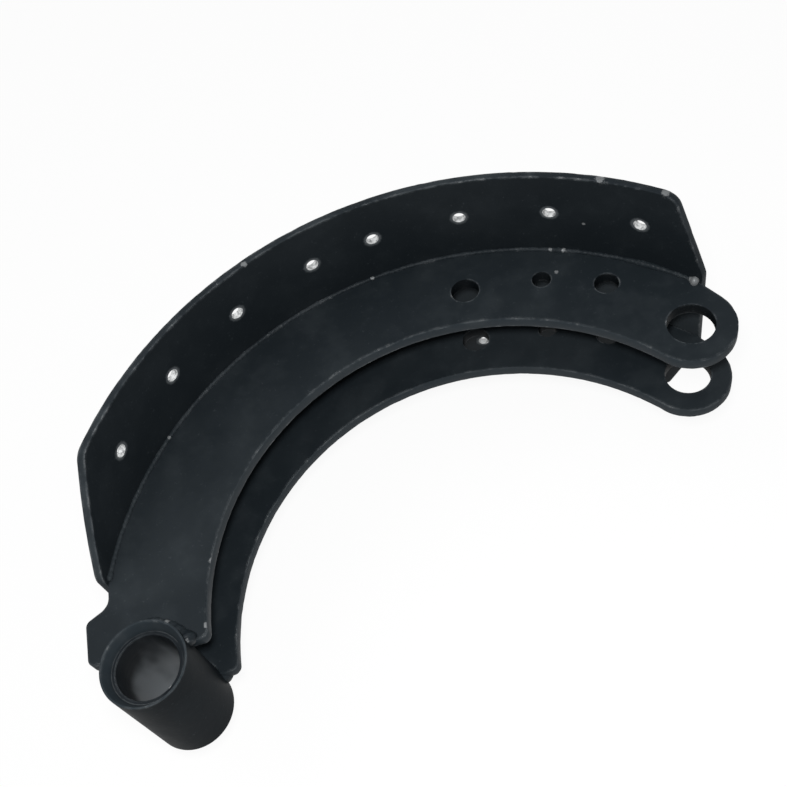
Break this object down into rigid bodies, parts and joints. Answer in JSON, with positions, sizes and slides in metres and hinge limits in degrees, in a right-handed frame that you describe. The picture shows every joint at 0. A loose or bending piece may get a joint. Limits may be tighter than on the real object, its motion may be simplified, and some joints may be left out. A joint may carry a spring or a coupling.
{
  "type": "brake shoe",
  "caption": "Curved lining table on two flat webs, with a bushed anchor tube across one end and open roller eyes at the other.",
  "frame": {"origin": "middle of the anchor bore, halfway between the webs", "axes": "+Z along the anchor and drum axes, +Y from the drum axis to the middle of the lining face"},
  "size_m": [0.3483, 0.1843, 0.16],
  "materials": {
    "black_paint": "satin black primer paint",
    "painted_weld": "rippled weld under the same paint",
    "coated_bush": "bored steel under a thin black coat"
  },
  "bodies": {
    "root": {"table": "black_paint", "web_upper": "black_paint", "web_lower": "black_paint", "anchor_tube": "black_paint", "anchor_bush": "coated_bush", "table_weld_upper": "painted_weld", "table_weld_lower": "painted_weld", "tube_weld_upper": "painted_weld", "tube_weld_lower": "painted_weld"}
  },
  "joints": []
}
